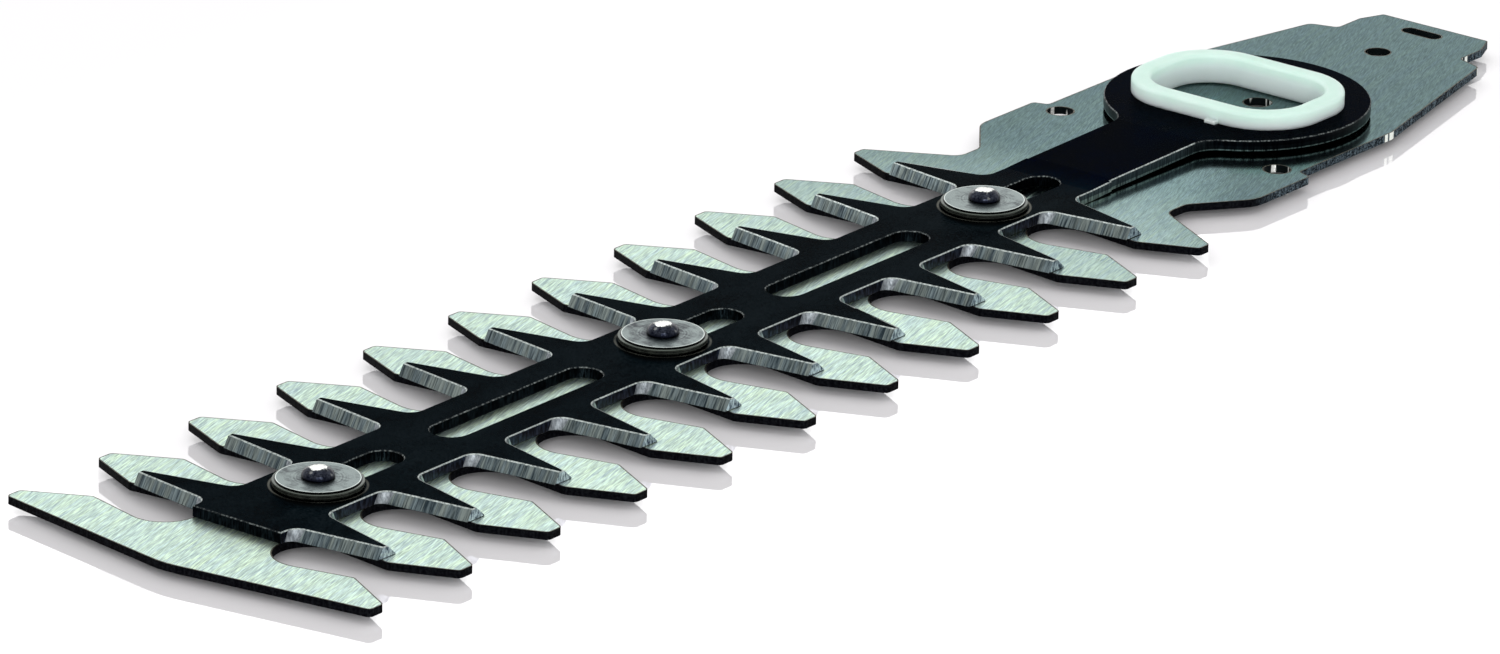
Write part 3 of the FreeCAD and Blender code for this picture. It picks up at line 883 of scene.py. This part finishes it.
def washerProfile():
    low, top, rim = washerLow.z, washer["top"], washer["rim"]
    face, step, ledge = rim - washer["face"], washer["step"], washer["ledge"]
    return {
        "Bore low": (washer["bore"], low),
        "Under face": (rim - washer["lowChamfer"], low),
        "Rim low": (rim, low + washer["lowChamfer"]),
        "Rim high": (rim, top - step - ledge),
        "Ledge outer": (rim - ledge, top - step),
        "Ledge inner": (face + washer["stepEdge"], top - step),
        "Step top": (face + washer["stepEdge"] - washer["stepSlope"], top - washer["stepEdge"]),
        "Top face": (face, top),
        "Bore high": (washer["bore"], top),
        "Bore closed": (washer["bore"], low),
    }


makeTurned("washers", "washer", washerProfile(), washerSteel(), washer)


# Rivets: dark, polished domes with an uneven bright flat on top and bright patches, both painted
# highlights, a little darker low down next to the washer as painted shade, and flat feet below the comb
rivet = {
    "seed": 7, "uneven": 0.12 * mm,
    "shank": 1.9 * mm,
    "head": 2.42 * mm,
    "undercut": 0.20 * mm,       # how far the head curls in where it meets the washer
    "curl": 0.16 * mm,           # height of that curl
    "middle": (0.3, 0.45),       # shares of the two, halfway round
    "flat": 0.85 * mm,
    "dish": 0.02 * mm,           # depth of the flat's middle
    "domeSteps": 7, "fullness": 1.15,
    "footChamfer": 0.3 * mm,
    "dents": ((620, 620, 620), 3.0, 0.6), "pits": ((2600, 2600, 2600), 3.0, 0.6),
    # painted highlight: the top flat and the bright patches on the dome
    "crown": (0.30 * mm, 0.04 * mm, 0.0, 0.42), "crownMix": (0.86, 0.92),   # depths below the top
    # painted shade: the dome goes darker below these heights, next to the washer
    "shadedLow": (0.25 * mm, 0.9 * mm), "pitMix": (0.36, 0.64),               # heights above the washer
    "paintedGlintMix": (0.64, 0.70), "paintedGlint": 0.22,
    "dark": colour(0.004, 0.005, 0.010), "mid": colour(0.042, 0.048, 0.064),
    "bright": colour(0.80, 0.82, 0.78),
    "rough": (0.3, 0.7, 0.26, 0.12), "bump": (0.10 * mm, 0.6),
}


def rivetSteel():
    material, tree, shader = newMaterial("rivet steel", {"Metallic": 1.0})
    place = turnedPlace(tree)
    height = axes(tree, place)["Z"]
    dents = noise(tree, place, *rivet["dents"])
    pits = noise(tree, place, *rivet["pits"])
    # painted highlight on the top flat
    first, last, *crown = rivet["crown"]
    lift = levels(tree, height, rivetHigh.z - first, rivetHigh.z - last, *crown)
    top = levels(tree, maths(tree, "ADD", lift, dents), *rivet["crownMix"])
    # painted shade low on the dome, next to the washer
    low = levels(tree, height, *[washerHigh.z + above for above in rivet["shadedLow"]])
    low = maths(tree, "MULTIPLY", low, levels(tree, pits, *rivet["pitMix"]))
    # painted highlight: bright patches where the dents stand high
    paintedGlint = maths(tree, "MULTIPLY", levels(tree, dents, *rivet["paintedGlintMix"]), rivet["paintedGlint"])
    base = mixColour(tree, low, rivet["dark"], rivet["mid"])
    base = mixColour(tree, maths(tree, "MAXIMUM", top, paintedGlint), base, rivet["bright"])
    finish(tree, shader, base, levels(tree, pits, *rivet["rough"]), dents, *rivet["bump"])
    return material


def rivetProfile():
    low, top, seat = rivetLow.z, rivetHigh.z, washerHigh.z
    foot = (rivetHigh.x - rivetLow.x) / 2
    cut, head, flat = rivet["footChamfer"], rivet["head"], rivet["flat"]
    start, steps = seat + rivet["curl"], rivet["domeSteps"]
    inward, upward = rivet["middle"]
    angles = [i * math.pi / (2 * steps) for i in range(1, steps)]
    dome = {"Dome %d" % i: (flat + (head - flat) * math.cos(angle) ** rivet["fullness"],
                            start + (top - start) * math.sin(angle)) for i, angle in enumerate(angles, 1)}
    return {
        "Foot centre": (0.0, low),
        "Foot face": (foot - cut, low),
        "Foot rim low": (foot, low + cut),
        "Foot rim high": (foot, -cut / 2),
        "Foot top": (foot - cut / 2, 0.0),
        "Shank low": (rivet["shank"], 0.0),
        "Shank high": (rivet["shank"], seat),
        "Curl low": (head - rivet["undercut"], seat),
        "Curl middle": (head - rivet["undercut"] * inward, seat + rivet["curl"] * upward),
        "Head": (head, start),
        **dome,
        "Flat rim": (flat, top),
        "Flat centre": (0.0, top - rivet["dish"]),
    }


makeTurned("rivets", "rivet", rivetProfile(), rivetSteel(), rivet)


# Bushes: ground, mostly hidden under the washers
bush = {
    "seed": 2, "uneven": 0.0,
    "bore": 1.95 * mm,
    "lines": ((400, 400, 6000), 2.0), "mix": (0.35, 0.65),
    "dark": colour(0.20, 0.21, 0.22), "light": colour(0.46, 0.48, 0.48),
    "rough": (0.3, 0.7, 0.40, 0.25),
}


def bushSteel():
    material, tree, shader = newMaterial("bush steel", {"Metallic": 1.0})
    lines = noise(tree, turnedPlace(tree), *bush["lines"])
    base = mixColour(tree, levels(tree, lines, *bush["mix"]), bush["dark"], bush["light"])
    tree.links.new(base, shader.inputs["Base Color"])
    tree.links.new(levels(tree, lines, *bush["rough"]), shader.inputs["Roughness"])
    return material


def bushProfile():
    low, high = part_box("guide_bush_front")
    rim = (high.x - low.x) / 2
    return {
        "Bore low": (bush["bore"], low.z),
        "Rim low": (rim, low.z),
        "Rim high": (rim, high.z),
        "Bore high": (bush["bore"], high.z),
        "Bore closed": (bush["bore"], low.z),
    }


makeTurned("guideBushes", "guide_bush", bushProfile(), bushSteel(), bush)
print("guides made")


# White floor, which keeps the shadow and a faint reflection
stage = {
    "half": 3.0,
    "shader": {"Base Color": colour(0.955, 0.935, 0.955), "Roughness": 0.03, "IOR": 4.0,
               "Emission Color": colour(1, 1, 1)},
    "lift": 0.030,               # light it adds for the camera, so that the open floor comes out white
}


def makeFloor():
    mesh = bpy.data.meshes.new("floor")
    half = stage["half"]
    mesh.from_pydata([(-half, -half, floorZ), (half, -half, floorZ), (half, half, floorZ),
                      (-half, half, floorZ)], [], [(0, 1, 2, 3)])
    material, tree, shader = newMaterial("white floor", stage["shader"])
    tree.links.new(maths(tree, "MULTIPLY", seenByCamera(tree), stage["lift"]),
                   shader.inputs["Emission Strength"])
    mesh.materials.append(material)
    floor = bpy.data.objects.new("floor", mesh)
    bpy.context.scene.collection.objects.link(floor)


makeFloor()


# Light: an even white room, with softboxes above and beside the blade
room = {"colour": colour(1, 1, 1), "ambient": 0.86}
softboxes = {
    # name: place, size, power, aimed at
    "overhead": ((-0.10, 0.10, 0.85), (0.9, 0.7), 0.5, (-0.10, 0.0, 0.0)),
    "front": ((-0.75, -0.60, 0.42), (0.6, 0.4), 3.6, (-0.10, 0.0, 0.0)),
    "side": ((0.045, 0.15, 0.17), (0.31, 0.16), 0.11, (0.045, -0.85, 0.17)),
    "sideLow": ((-0.135, 0.15, 0.080), (0.07, 0.06), 0.009, (-0.135, -0.85, 0.080)),
}


def makeLight():
    world = bpy.data.worlds.new("room")
    world.use_nodes = True
    tree = world.node_tree
    background = tree.nodes["Background"]
    background.inputs["Color"].default_value = room["colour"]
    tree.links.new(levels(tree, seenByCamera(tree), 0.0, 1.0, room["ambient"], 1.0),
                   background.inputs["Strength"])
    bpy.context.scene.world = world
    for name, (place, size, power, aim) in softboxes.items():
        data = bpy.data.lights.new(name, "AREA")
        data.shape = "RECTANGLE"
        data.size, data.size_y = size
        data.energy = power
        lamp = bpy.data.objects.new(name, data)
        lamp.location = place
        lamp.rotation_euler = (Vector(aim) - Vector(place)).to_track_quat("-Z", "Y").to_euler()
        bpy.context.scene.collection.objects.link(lamp)


makeLight()
bpy.context.scene.view_settings.view_transform = "Standard"
print("floor and light made")
